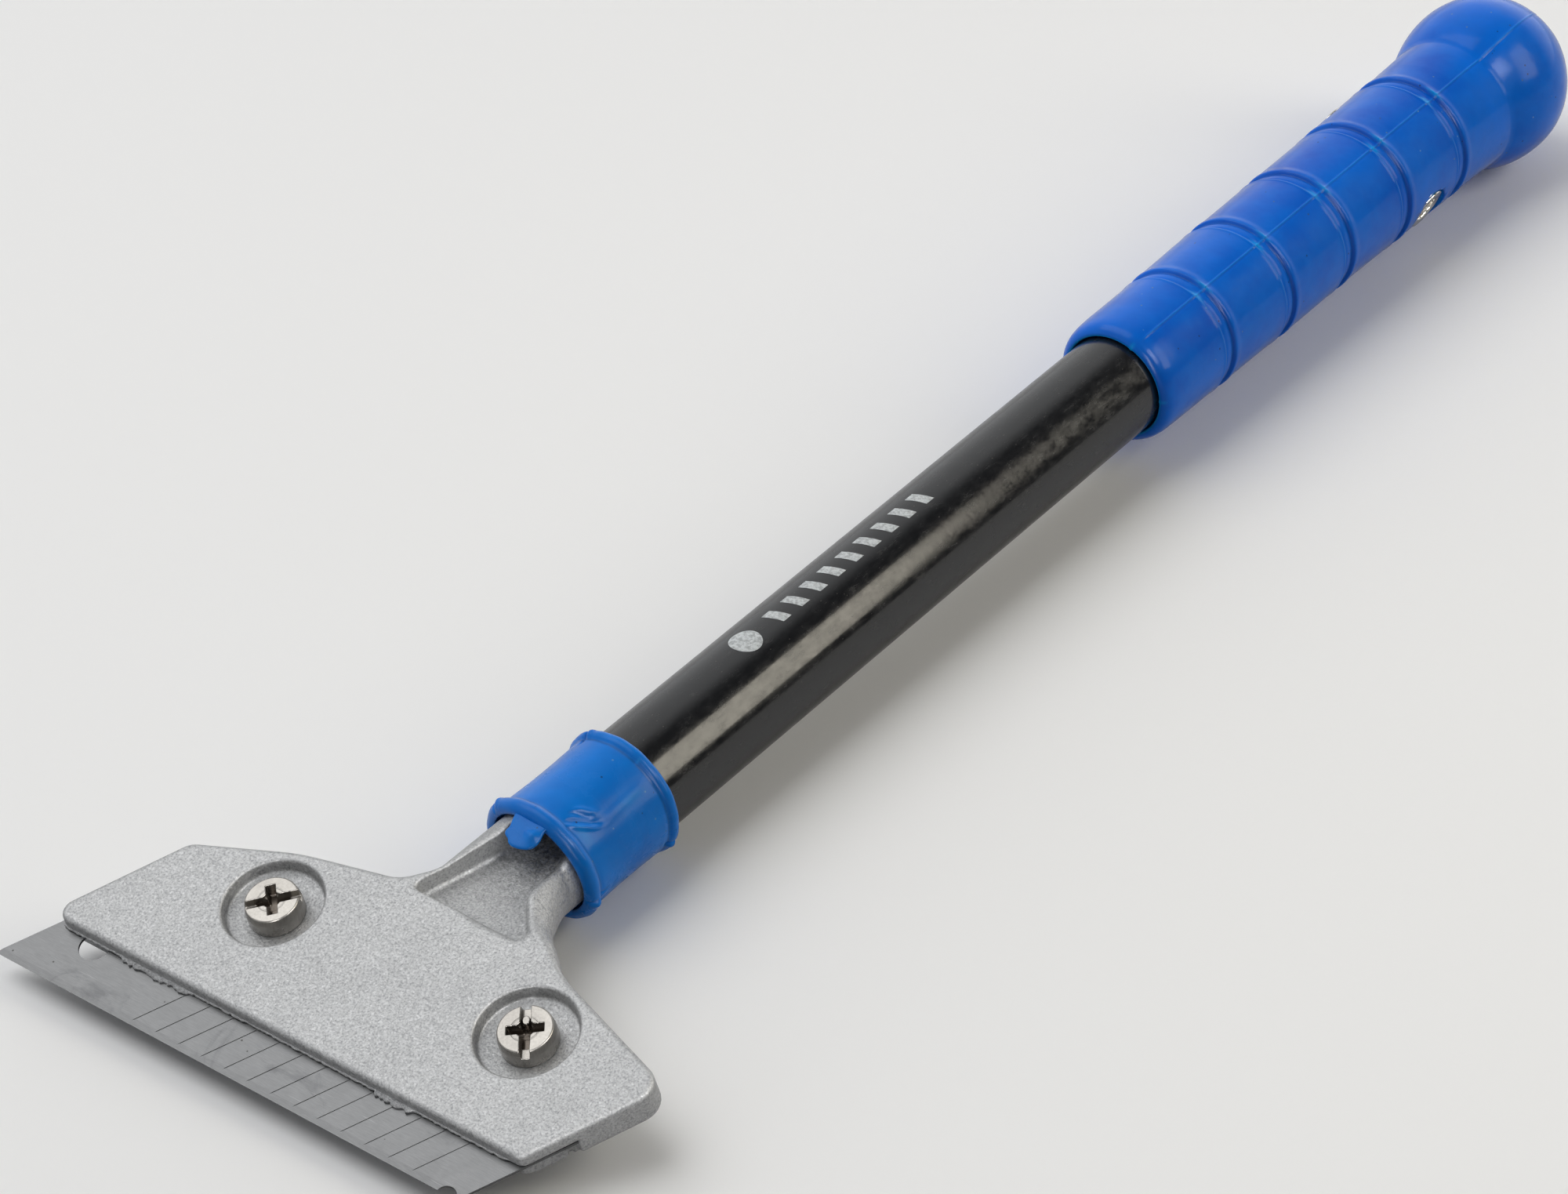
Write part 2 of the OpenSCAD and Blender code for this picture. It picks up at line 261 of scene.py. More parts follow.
def outline_distance(x, y, outline):
    """Signed distance in a plane, negative inside the outline."""
    x, y = np.broadcast_arrays(x, y)
    best, inside = np.full(x.shape, 1e9, np.float32), np.zeros(x.shape, bool)
    for a, b in zip(outline, np.roll(outline, -1, axis=0)):
        e = b - a
        t = np.clip(((x - a[0]) * e[0] + (y - a[1]) * e[1]) / max(e @ e, 1e-9), 0, 1)
        best = np.minimum(best, (x - a[0] - t * e[0]) ** 2 + (y - a[1] - t * e[1]) ** 2)
        if e[1] != 0:
            inside ^= ((a[1] > y) != (b[1] > y)) & (x < a[0] + (y - a[1]) * e[0] / e[1])
    return np.where(inside, -1, 1) * np.sqrt(best)


# ---------------------------------------------------------------- materials
class Finish:
    """A small builder for a node material."""

    def __init__(self, name):
        self.material = bpy.data.materials.new(name)
        self.material.use_nodes = True
        self.tree = self.material.node_tree
        self.shader = self.tree.nodes["Principled BSDF"]
        self.object_at = self.node("ShaderNodeTexCoord").outputs["Object"]

    def node(self, kind, **settings):
        made = self.tree.nodes.new(kind)
        for key, value in settings.items():
            setattr(made, key, value)
        return made

    def put(self, socket, value):
        if isinstance(value, bpy.types.NodeSocket):
            self.tree.links.new(value, socket)
        elif hasattr(socket.default_value, "__len__") and len(socket.default_value) == 4:
            socket.default_value = (*value[:3], 1)
        else:
            socket.default_value = value

    def stretched(self, scale, turn=(0, 0, 0)):
        mapping = self.node("ShaderNodeMapping")
        self.put(mapping.inputs["Vector"], self.object_at)
        mapping.inputs["Scale"].default_value = scale
        mapping.inputs["Rotation"].default_value = turn
        return mapping.outputs[0]

    def noise(self, scale, detail=3, rough=0.5, at=None, distortion=0):
        made = self.node("ShaderNodeTexNoise")
        self.put(made.inputs["Vector"], at or self.object_at)
        for key, value in (("Scale", scale), ("Detail", detail), ("Roughness", rough),
                           ("Distortion", distortion)):
            made.inputs[key].default_value = value
        return made.outputs["Fac"]

    def cells(self, scale, at=None):
        made = self.node("ShaderNodeTexVoronoi")
        self.put(made.inputs["Vector"], at or self.object_at)
        made.inputs["Scale"].default_value = scale
        return made

    def ramp(self, value, *stops):
        """Grey or colour steps: (place, grey or colour)."""
        made = self.node("ShaderNodeValToRGB")
        self.put(made.inputs[0], value)
        band = made.color_ramp.elements
        while len(band) < len(stops):
            band.new(0.5)
        for element, (place, shade) in zip(band, stops):
            element.position = place
            element.color = (*(shade if hasattr(shade, "__len__") else (shade,) * 3), 1)
        return made.outputs[0]

    def math(self, operation, a, b=0.0):
        made = self.node("ShaderNodeMath", operation=operation)
        self.put(made.inputs[0], a)
        self.put(made.inputs[1], b)
        return made.outputs[0]

    def mix(self, share, a, b):
        made = self.node("ShaderNodeMix", data_type="RGBA")
        self.put(made.inputs[0], share)
        self.put(made.inputs[6], a)
        self.put(made.inputs[7], b)
        return made.outputs[2]

    def bump(self, height, depth, strength=1.0, under=None):
        made = self.node("ShaderNodeBump")
        self.put(made.inputs["Height"], height)
        made.inputs["Distance"].default_value = depth * MM
        made.inputs["Strength"].default_value = strength
        if under is not None:
            self.put(made.inputs["Normal"], under)
        return made.outputs[0]

    def attribute(self, name):
        return self.node("ShaderNodeAttribute", attribute_name=name).outputs["Fac"]

    def finish(self, **values):
        for key, value in values.items():
            self.put(self.shader.inputs[key.replace("_", " ")], value)
        return self.material


def cast_aluminium(name, light, dark, coarse=1.0):
    """Grainy cast metal: pale with dark and bright specks and an even sparkle."""
    f = Finish(name)
    grain = f.noise(2600 * coarse, 4, 0.7)
    cloud = f.noise(90, 3, 0.55)
    specks = f.cells(1500 * coarse).outputs["Distance"]
    pits = f.noise(700 * coarse, 2, 0.5)
    tone = f.ramp(grain, (0.30, dark), (0.52, light), (0.72, tuple(min(1, 1.25 * c) for c in light)))
    tone = f.mix(f.ramp(pits, (0.66, 0.0), (0.76, 0.55)), tone, dark)
    tone = f.mix(f.ramp(cloud, (0.35, 0.10), (0.65, 0.0)), tone, dark)
    # The tone attribute paints shade: it darkens toward a deep grey, broken up by a speck noise.
    painted_shade = f.attribute("tone")
    tone = f.mix(f.math("MULTIPLY", painted_shade, f.ramp(f.noise(1200, 3, 0.7), (0.35, 1.0), (0.62, 0.35))),
                 tone, tuple(0.28 * c for c in dark))
    rough = f.ramp(specks, (0.0, 0.34), (0.55, 0.58))
    bumps = f.bump(grain, 0.10, 0.8, f.bump(f.noise(900 * coarse, 2, 0.6), 0.10, 0.7))
    return f.finish(Base_Color=tone, Metallic=0.82, Roughness=rough, Normal=bumps)


def rubber(name, base, pale, deep, dusty, rough, glaze):
    """Moulded blue rubber: hazy scuffs and specks under a thin glaze that is strongest at grazing angles.

    The tone attribute makes it paler where positive (mould flash and painted highlights) and darker where negative
    (painted shade in creases, grooves and nicks)."""
    f = Finish(name)
    cloud = f.noise(55, 4, 0.6)
    haze = f.noise(140, 5, 0.65, distortion=0.6)
    tone = f.ramp(cloud, (0.32, deep), (0.55, base), (0.72, tuple(1.12 * c for c in base)))
    scuff = f.ramp(haze, (0.52, 0.0), (0.72, dusty))
    tone = f.mix(scuff, tone, (0.012, 0.21, 0.70))
    dots = f.cells(320)
    tone = f.mix(f.ramp(dots.outputs["Distance"], (0.045, 0.75), (0.075, 0.0)), tone,
                 f.ramp(dots.outputs["Color"], (0.45, (0.002, 0.01, 0.04)), (0.75, (0.16, 0.36, 0.62))))
    # Positive tone mixes toward pale (mould flash and painted highlights); negative tone mixes toward a deep blue
    # (painted shade).
    flash_and_painted_light = f.attribute("tone")
    tone = f.mix(f.ramp(flash_and_painted_light, (0.02, 0.0), (1.0, 0.85)), tone, pale)
    tone = f.mix(f.ramp(f.math("MULTIPLY", flash_and_painted_light, -1.0), (0.02, 0.0), (1.0, 0.8)), tone,
                 tuple(0.3 * c for c in deep))
    shine = f.ramp(haze, (0.3, rough - 0.07), (0.7, rough + 0.10))
    lines = f.noise(900, 3, 0.6, f.stretched((1, 0.35, 1)))
    bumps = f.bump(lines, 0.03, 0.5, f.bump(cloud, 0.5, 0.35))
    facing = f.node("ShaderNodeLayerWeight").outputs["Facing"]
    return f.finish(Base_Color=tone, Roughness=shine, Normal=bumps, Specular_IOR_Level=0.05,
                    Coat_Weight=f.ramp(facing, (0.35, 0.26), (0.85, 1.0)),
                    Coat_Roughness=f.ramp(haze, (0.3, glaze - 0.05), (0.7, glaze + 0.12)),
                    Coat_Normal=bumps, Sheen_Weight=0.05, Sheen_Tint=(0.45, 0.62, 1.0), Sheen_Roughness=0.3)


head_metal = cast_aluminium("cast_aluminium", (0.455, 0.458, 0.46), (0.245, 0.25, 0.255))
clamp_metal = cast_aluminium("clamp_cast", (0.43, 0.435, 0.44), (0.22, 0.225, 0.23), 0.8)
PALE_BLUE = (0.0, 0.40, 0.94)
collar_rubber = rubber("collar_rubber", base=(0.0, 0.185, 0.68), pale=PALE_BLUE, deep=(0.0, 0.140, 0.57),
                       dusty=0.20, rough=0.44, glaze=0.22)
grip_rubber = rubber("grip_rubber", base=(0.0, 0.146, 0.71), pale=PALE_BLUE, deep=(0.0, 0.100, 0.60),
                     dusty=0.12, rough=0.40, glaze=0.13)


def steel(name, tone, brush, stain, turn=(0, 0, 0)):
    """Rolled or turned steel with fine lines along one direction: the material's start."""
    f = Finish(name)
    lines = f.noise(1.0, 4, 0.6, f.stretched(brush, turn))
    cloud = f.noise(120, 4, 0.6)
    colour = f.mix(f.ramp(lines, (0.3, 0.0), (0.7, 1.0)),
                   tuple(0.86 * c for c in tone), tuple(1.1 * c for c in tone))
    colour = f.mix(f.ramp(cloud, (0.45, stain), (0.62, 0.0)), colour, tuple(0.5 * c for c in tone))
    return f, colour, lines, cloud


def nickel(name):
    """Plated screw heads, brown in the depth of their recesses where tone is set."""
    f, colour, lines, cloud = steel(name, (0.37, 0.352, 0.325), (2500, 2500, 400), 0.45)
    deep = f.attribute("tone")
    colour = f.mix(f.ramp(deep, (0.0, 0.0), (1.0, 0.92)), colour, (0.075, 0.052, 0.034))
    return f.finish(Base_Color=colour, Metallic=f.ramp(deep, (0.0, 1.0), (1.0, 0.5)),
                    Roughness=f.ramp(cloud, (0.3, 0.2), (0.7, 0.36)), Normal=f.bump(lines, 0.02, 0.5))


def blade_steel(name):
    """Ground steel with spots, smudges and fine scratches."""
    tilt = math.atan2(HEAD_BACK[2], HEAD_BACK[1])
    f, colour, lines, cloud = steel(name, (0.170, 0.172, 0.174), (500, 9000, 500), 0.3, (-tilt, 0, 0))
    marks = f.cells(260)
    colour = f.mix(f.ramp(marks.outputs["Distance"], (0.035, 0.8), (0.06, 0.0)), colour, (0.03, 0.028, 0.025))
    smudge = f.noise(75, 6, 0.7, distortion=1.5)
    colour = f.mix(f.ramp(smudge, (0.58, 0.0), (0.70, 0.42)), colour, (0.06, 0.06, 0.065))
    hairs = f.noise(1.0, 2, 0.5, f.stretched((120, 5200, 120), (-tilt, 0, math.radians(24))))
    colour = f.mix(f.ramp(hairs, (0.70, 0.0), (0.78, 0.25)), colour, (0.45, 0.45, 0.45))
    return f.finish(Base_Color=colour, Metallic=0.95, Roughness=f.ramp(cloud, (0.3, 0.26), (0.7, 0.42)),
                    Normal=f.bump(lines, 0.01, 0.5))


def gloss_black(name):
    """Black lacquer with dust that shows in the long reflection."""
    f = Finish(name)
    dust = f.noise(1.0, 6, 0.72, f.stretched((700, 260, 700)))
    dots = f.cells(700, f.stretched((1, 0.6, 1))).outputs["Distance"]
    colour = f.mix(f.ramp(dots, (0.05, 0.5), (0.09, 0.0)), (0.0075, 0.008, 0.009), (0.10, 0.095, 0.085))
    colour = f.mix(f.ramp(dust, (0.60, 0.0), (0.80, 0.12)), colour, (0.20, 0.19, 0.17))
    rough = f.ramp(dust, (0.35, 0.10), (0.70, 0.34))
    bumps = f.bump(f.noise(160, 3, 0.6), 0.12, 0.35, f.bump(dust, 0.02, 0.6))
    return f.finish(Base_Color=colour, Roughness=rough, Specular_IOR_Level=0.5, Normal=bumps,
                    Coat_Weight=0.35, Coat_Roughness=0.08)


screw_metal = nickel("nickel")
blade_metal = blade_steel("blade_steel")
tube_black = gloss_black("gloss_black")


def plain_steel(name, tone, rough):
    f, colour, lines, cloud = steel(name, tone, (900, 900, 900), 0.3)
    return f.finish(Base_Color=colour, Metallic=1.0, Normal=f.bump(lines, 0.02, 0.4),
                    Roughness=f.ramp(cloud, (0.3, rough - 0.05), (0.7, rough + 0.1)))


nut_steel = plain_steel("nut_steel", (0.42, 0.41, 0.40), 0.35)
eyelet_steel = plain_steel("eyelet_steel", (0.78, 0.76, 0.72), 0.16)
print_f = Finish("white_print")
print_white = print_f.finish(
    Base_Color=print_f.ramp(print_f.noise(1500, 4, 0.7), (0.40, (0.35, 0.37, 0.38)),
                            (0.56, (0.62, 0.65, 0.66))), Roughness=0.45)

# ---------------------------------------------------------------- head casting
SIDE_SLOPE = math.tan(math.radians(29))
FRONT_Y, SEAT_Y, SIDE_Y = -19.6, -11.2, 2.6
FRONT_LEFT, FRONT_RIGHT = -60.4, 41.1
BACK_LEFT = FRONT_LEFT + (SIDE_Y - FRONT_Y) * SIDE_SLOPE
BACK_RIGHT = FRONT_RIGHT + (SIDE_Y - FRONT_Y) * SIDE_SLOPE
NECK_X, NECK_R = 2.6, 9.5                        # where the neck's root is, and its radius at the collar
ROOT_S, NECK_S = 14.5, 31.0                      # where it starts to change, and where it is round
ROOT_HALF, ROOT_HIGH, ROOT_ROUND, ROOT_LIFT = 10.0, 2.75, 0.4, 3.6
RIGHT_NARROW, RIGHT_ROUND = 0.62, 2.2            # the right side of the root reaches farther and is rounder
LIP_Z, LOW_Z = -2.6, -5.7
EDGE_ROUND, WEB_ROUND, SPIGOT_END = 0.9, 6.0, 41.5
POCKET_Z, POCKET_FALL, POCKET_DRAFT = -3.4, math.tan(math.radians(9)), 0.10
SINK_R, SINK_Z, SINK_DRAFT, SINK_FLAT_R, BOLT_HOLE_R = 8.3, -3.0, 0.16, 5.2, 3.3
head_step = 0.3
head_outline = rounded([
    (FRONT_LEFT, FRONT_Y, 2.5), (FRONT_RIGHT, FRONT_Y, 2), (BACK_RIGHT, SIDE_Y, 4),
    (18.6, 13.7, 0), (NECK_X - 11.5, 14.8, 0), (-30, 10.3, 40), (BACK_LEFT, SIDE_Y + 0.4, 4)])
pocket_outline = rounded([
    (-7.9, 14.1, 0.8), (15.6, 14.1, 1.2), (9.0, 21.5, 5), (5.0, 44, 0), (-1.2, 44, 0), (-2.5, 30, 8)])


def neck_field(x, y, z):
    """A round-cornered block at the plate that becomes a round bar, and the place along the handle."""
    w = z - AXIS_Z
    s, u = y * BEND_COS - w * BEND_SIN, y * BEND_SIN + w * BEND_COS
    t = np.clip((s - ROOT_S) / (NECK_S - ROOT_S), 0, 1)
    r = ROOT_ROUND + t * (NECK_R - ROOT_ROUND)
    half_x, half_u = ROOT_HALF + t * (NECK_R - ROOT_HALF), ROOT_HIGH + t * (NECK_R - ROOT_HIGH)
    off = x - NECK_X * (1 - t)
    right = smooth(-3, 3, off)
    narrow = 1 - right * (1 - RIGHT_NARROW - (1 - RIGHT_NARROW) * t ** 1.2)
    r = r + right * (1 - t) * RIGHT_ROUND
    qx, qu = np.abs(off) * narrow - half_x + r, np.abs(u - ROOT_LIFT * (1 - t)) - half_u + r
    d = np.hypot(np.maximum(qx, 0), np.maximum(qu, 0)) + np.minimum(np.maximum(qx, qu), 0) - r
    return np.maximum(d, ROOT_S - 2 - s), s


def head_field(x, y, z):
    flat = outline_distance(x[:, :, 0], y[:, :, 0], head_outline)[:, :, None]
    plate = both(flat + 0.02 * z, LOW_Z - z, 0.4)
    neck, s = neck_field(x, y, z)
    d = either(plate, neck, WEB_ROUND)
    d = np.maximum(d, LOW_Z - z - 2.0 * np.maximum(y - 10.5, 0))
    d = both(d, z + 0 * x, EDGE_ROUND)
    d = np.maximum(d, s - SPIGOT_END)
    lip = np.maximum(y - SEAT_Y, z - LIP_Z) + 0 * x
    d = without(d, lip, 0.2)
    pocket_flat = outline_distance(x[:, :, 0], y[:, :, 0], pocket_outline)[:, :, None]
    floor = POCKET_Z - POCKET_FALL * (y - 14)
    pocket = both(pocket_flat - POCKET_DRAFT * (z - floor), floor - z, 1.0)
    d = without(d, pocket, 0.55 + 1.0 * smooth(1, 6, x))
    for side in (-screw_x, screw_x):
        r = np.hypot(x - side, y)
        sink = both(r - SINK_R - SINK_DRAFT * (z - SINK_Z),
                    SINK_Z + SINK_DRAFT * np.maximum(r - SINK_FLAT_R, 0) - z, 0.35)
        d = without(d, sink, 0.35)
        d = np.maximum(d, BOLT_HOLE_R - r)
    return d


low, high = (-62.5, -21.5, -24), (56.5, 42.5, 1.2)
x, y, z = grid(low, high, head_step)
verts, faces = skin(head_field(x, y, z), np.array(low), head_step)

# Painted shade in the pocket, darker toward its left side and toward the collar, in a thin ring on each sink's
# wall and round each screw's seat
vx, vy, vz = verts.T
in_pocket = smooth(0.3, -0.6, outline_distance(vx, vy, pocket_outline)) * smooth(-0.5, -2.0, vz)
near_screw = np.minimum(np.hypot(vx - screw_x, vy), np.hypot(vx + screw_x, vy))
in_sink = smooth(9.2, 8.4, near_screw) * smooth(-0.3, -1.2, vz)
corner = smooth(16, 33, vy) * smooth(-4, 3, vx + 0.25 * (vy - 20))
tone = np.clip(in_pocket * (0.16 + 0.18 * smooth(-2, -5, vx - 0.2 * (vy - 14)) + 0.62 * corner)
               + 0.22 * in_sink * bell(near_screw - 8.45, 0.18)
               + 0.22 * in_sink * bell(near_screw - 5.1, 0.5), 0, 1)
piece("head_cast", head(verts), faces, "handle", head_metal,
      stands_for=("head_casting",), tone=tone)

# Flash left by the mould along the lower front edge
flash_metal = cast_aluminium("flash_cast", (0.47, 0.475, 0.48), (0.20, 0.20, 0.205), 1.5)
FLASH_SECTION = ((0.8, 0.15), (0, 0.1), (-1, 0.0), (-1, -1.0), (0, -1.1), (0.8, -1.1))
rng = np.random.default_rng(7)


def flash_strip(name, x0, x1, reach, top, thick):
    """A ragged strip from x0 to x1 that stands out by up to reach."""
    step = 0.5
    xs = np.arange(x0, x1 + step / 2, step)
    jag = reach * np.clip(0.45 + 0.55 * rng.random(len(xs)), 0, 1) * np.minimum(
        1, np.minimum(xs - x0, x1 - xs) / 1.2 + 0.05)
    rise = top + 0.25 * rng.random(len(xs))
    rows = []
    for yy, zz in FLASH_SECTION:
        y_at = FRONT_Y + (yy if yy > 0 else yy * jag)
        z_at = rise + (zz * thick)
        rows.append(np.stack([xs, y_at + 0 * xs, z_at], 1))
    verts, faces = tube_mesh(np.stack(rows, 1))
    # An even tone darkens the strips: painted shade at the front wall's foot.
    piece(name, head(verts), faces, "handle", flash_metal, tone=np.full(len(verts), 0.35))


flash_strip("flash_left", -44.5, -28.5, 1.15, LIP_Z + 0.3, 0.45)
flash_strip("flash_middle", 10.5, 19.5, 1.2, LIP_Z + 0.35, 0.5)
flash_strip("flash_edge", -57.5, 38.5, 0.42, LIP_Z + 0.3, 0.3)

# ---------------------------------------------------------------- clamp plate, nuts, blade
for name in ("clamp_plate", "nut_left", "nut_right", "blade", "neck_pin"):
    obj = nodes[name]
    obj.data.materials.clear()
    obj.data.materials.append({"clamp_plate": clamp_metal, "blade": blade_metal}.get(name, nut_steel))

# ---------------------------------------------------------------- screws
HEAD_R, HEAD_H, SEAT_Z = 4.9, 3.8, -2.98
SHANK_R, SHANK_LOW = 2.95, -6.2
SLOT_HALF, SLOT_DEEP = 0.75, 1.5
CROSS_HALF, CROSS_REACH, CROSS_DEEP, CROSS_TAPER = 0.85, 3.1, 2.4, 0.28
screw_step = 0.1


def screw_field(x, y, z, pin):
    """A cheese head with a slot, a cross recess and a turned ring. pin leaves a burr in the recess."""
    r = np.hypot(x, y)
    d = both(r - HEAD_R + 0.25 * smooth(2.2, 3.8, z), z - HEAD_H, 0.28)
    d = both(d, -z, 0.15)
    d = np.minimum(d, np.maximum(r - SHANK_R, np.maximum(z - 0.5, SHANK_LOW - z)))
    slot = both(np.abs(y) - SLOT_HALF - 0.05 * (z - HEAD_H + SLOT_DEEP), HEAD_H - SLOT_DEEP - z + 0 * y, 0.2)
    d = without(d, slot, 0.12)
    taper = CROSS_TAPER * (z - HEAD_H)
    for a, b in ((x, y), (y, x)):
        arm = np.maximum(np.abs(b) - CROSS_HALF - 0.3 * taper, np.abs(a) - CROSS_REACH - 0.5 * taper)
        d = without(d, both(arm, HEAD_H - CROSS_DEEP - z, 0.3), 0.12)
    d = without(d, np.hypot(r, (z - HEAD_H) * 1.2) - 1.55, 0.15)
    ring = np.hypot(r - 2.35, z - HEAD_H - 0.02) - 0.1
    d = np.maximum(d, -ring)
    if pin:
        burr = np.hypot(x + 2.0, y * 1.4) - 0.85
        d = np.minimum(d, np.maximum(burr, np.maximum(z - HEAD_H + 0.45, 1.5 - z)))
    return d


for name, at, turn, pin in (("screw_left", screw_at[0], 44, False), ("screw_right", screw_at[1], -54, True)):
    low, high = (-5.3, -5.3, -6.6), (5.3, 5.3, 4.2)
    x, y, z = grid(low, high, screw_step)
    verts, faces = skin(screw_field(x, y, z, pin), np.array(low), screw_step)
    flat_r = np.hypot(verts[:, 0], verts[:, 1])
    tone = (0.05 * smooth(HEAD_H - 0.25, HEAD_H - 1.2, verts[:, 2]) * smooth(4.7, 4.2, flat_r)
            + 0.80 * smooth(HEAD_H - 0.6, HEAD_H - 1.7, verts[:, 2]) * smooth(3.5, 2.6, flat_r))
    tone = tone * smooth(-0.5, 0.4, verts[:, 2])
    c, s = math.cos(math.radians(turn)), math.sin(math.radians(turn))
    local = np.stack([verts[:, 0] * c - verts[:, 1] * s, verts[:, 0] * s + verts[:, 1] * c,
                      verts[:, 2] + SEAT_Z], 1)
    local[:, 0] += (at - HEAD_AT) @ X
    piece(name + "_turned", head(local), faces, name, screw_metal, stands_for=(name,), tone=tone)

# ---------------------------------------------------------------- tube
TUBE_R, BORE_R = 10.0, 8.8
TUBE_FROM, TUBE_TO = 41.8, 322.0
turns = np.linspace(0, 2 * math.pi, 256, endpoint=False)
profile = [(BORE_R, TUBE_FROM), (TUBE_R - 0.1, TUBE_FROM), (TUBE_R, TUBE_FROM + 0.1)]
profile += [(TUBE_R, s) for s in np.linspace(TUBE_FROM + 2, TUBE_TO - 2, 60)]
profile += [(TUBE_R, TUBE_TO - 0.1), (TUBE_R - 0.1, TUBE_TO), (BORE_R, TUBE_TO)]
rr, ss = np.array(profile).T
points = handle(rr[:, None], ss[:, None], turns[None, :])
tube = piece("tube_black", points.reshape(-1, 3), rings(points.shape[:2], True), "handle",
             tube_black, stands_for=("handle_tube",))

# The hanging hole crosses the tube and the grip, with a recess for the eyelet's flange at each end
HOLE_R, RECESS_R, RECESS_FROM = 3.42, 4.9, 12.75
hole_side = np.cross(EYELET_AXIS, AXIS)


def across(r, along, spin):
    """World mm of points round the hanging hole's axis."""
    r, along, spin = np.broadcast_arrays(np.asarray(r, float), along, spin)
    return (PIVOT + AXIS * EYELET_S + along[..., None] * EYELET_AXIS
            + (r * np.cos(spin))[..., None] * AXIS + (r * np.sin(spin))[..., None] * hole_side)


def bar_across(r, a, b):
    """A closed round bar along the hanging hole from a to b."""
    spin = np.linspace(0, 2 * math.pi, 64, endpoint=False)
    return tube_mesh(across(r, np.array([a, b])[:, None], spin[None, :]))


cut(tube, *bar_across(HOLE_R, -15, 15))

# ---------------------------------------------------------------- collar
COLLAR_FROM, COLLAR_LEN, COLLAR_R, BEAD_R = 33.8, 23.4, 11.3, 12.2
NEAR_TUBE, FAR_TUBE = 1.5, 1.25                 # half the widths of the two beads
LOOSE = 0.02                                    # clearance on the tube
NICKS = ((-48, NEAR_TUBE), (106, NEAR_TUBE), (-34, COLLAR_LEN - FAR_TUBE), (117, COLLAR_LEN - FAR_TUBE))


def collar_profile():
    """Radius and place along the collar, from inside the near end over both beads to inside the far end."""
    out = [(TUBE_R + LOOSE, 0.3)]
    for t in np.linspace(-150, 60, 18):
        a = math.radians(t)
        out.append((BEAD_R - NEAR_TUBE + NEAR_TUBE * math.cos(a), NEAR_TUBE + NEAR_TUBE * math.sin(a)))
    out += [(COLLAR_R + 0.06, 3.05)]
    out += [(COLLAR_R, s) for s in np.linspace(3.4, COLLAR_LEN - 3.0, 76)]
    out += [(COLLAR_R + 0.06, COLLAR_LEN - 2.6)]
    for t in np.linspace(-60, 150, 18):
        a = math.radians(t)
        out.append((BEAD_R - 0.1 - FAR_TUBE + FAR_TUBE * math.cos(a),
                    COLLAR_LEN - FAR_TUBE + FAR_TUBE * math.sin(a)))
    out.append((TUBE_R + LOOSE, COLLAR_LEN - 0.3))
    return np.array(out)


prof = collar_profile()
prof[:, 0] = np.maximum(prof[:, 0], TUBE_R + LOOSE)
turns = np.linspace(0, 2 * math.pi, 400, endpoint=False)
deg = np.degrees(turns)[None, :]
deg = np.where(deg > 180, deg - 360, deg)
r = prof[:, :1] + 0 * deg
s = prof[:, 1:] + 0 * deg
wall = smooth(TUBE_R + 0.3, TUBE_R + 1.0, r)
body = smooth(2.6, 4.2, s) * smooth(COLLAR_LEN - 2.4, COLLAR_LEN - 3.8, s)
# shallow waist, fuller low on the right, and small waves of stretched rubber
r = r - body * (0.20 * np.sin(np.pi * (s - 3) / (COLLAR_LEN - 6)) + 0.05 * np.sin(np.radians(3 * deg + 40))
                - 0.30 * bell(deg - 130, 45))
# pinched fold behind the near bead: two soft creases with a raised side, and a long low ridge
fold = np.radians(deg - 34) * COLLAR_R
crease = ((s - 4.5) - 1.18 * (fold + 0.8)) / 1.55
crease_two = ((s - 6.3) - 0.69 * (fold + 1.4)) / 1.21
span = smooth(-1.8, -0.5, fold) * smooth(3.6, 1.6, fold)
span_two = smooth(-2.6, -1.3, fold) * smooth(1.5, 0.1, fold)
r = r + body * (0.40 * bell(crease + 0.95, 0.6) * span - 0.36 * bell(crease, 0.75) * span
                - 0.24 * bell(crease_two, 0.6) * span_two + 0.25 * bell(crease_two - 0.9, 0.7) * span_two)
ridge = (fold - 2.6) + 0.08 * (s - 12)
r = r + body * 0.16 * bell(ridge, 0.9) * smooth(6, 11, s) * smooth(21, 17, s)
# seam nicks in both beads
for at, bead_s in NICKS:
    nick = bell(deg - at, 1.6) * bell(s - bead_s, 2.0) * wall
    r = r - 0.8 * nick + 0.30 * bell(deg - at - 5.0, 2.8) * bell(s - bead_s, 1.3) * wall
uneven = np.sin(np.radians(7 * deg)) * 0.05 + np.sin(np.radians(17 * deg + 50)) * 0.03
r = r + wall * (1 - body) * uneven
# a small pale spot on the far bead, painted highlights at about 45 degrees behind the near bead and along the
# middle, and painted shade in lines beside the beads and in the crease
tone = (0.5 * bell(deg - 27.5, 1.2) * bell(s - (COLLAR_LEN - 2.2), 0.5)
        + 0.30 * bell(s - 4.6, 1.0) * bell(deg - 45, 12) + 0.26 * bell(deg - 48, 4) * bell(s - 16, 3.2)
        - 0.5 * bell(s - 3.1, 0.22) - 0.6 * bell(s - (COLLAR_LEN - 2.6), 0.2)
        - 0.12 * bell(crease, 0.3) * span)
# painted shade in the beads' seam nicks
for at, bead_s in NICKS:
    tone = tone - 0.9 * bell(deg - at, 1.1) * bell(s - bead_s, 1.5)
# both ends are pushed toward the head where they face up and right
near_push = 0.3 - 1.8 * np.cos(np.radians(deg - 25))
far_push = 0.4 - 0.8 * np.cos(np.radians(deg - 40))
share = smooth(1, COLLAR_LEN - 1, s)
s = s + near_push * (1 - share) + far_push * share
points = handle(np.maximum(r, TUBE_R + LOOSE), COLLAR_FROM + s, turns[None, :])
piece("collar_rubber", points.reshape(-1, 3), rings(points.shape[:2], True), "handle",
      collar_rubber, stands_for=("collar",), tone=tone.reshape(-1))

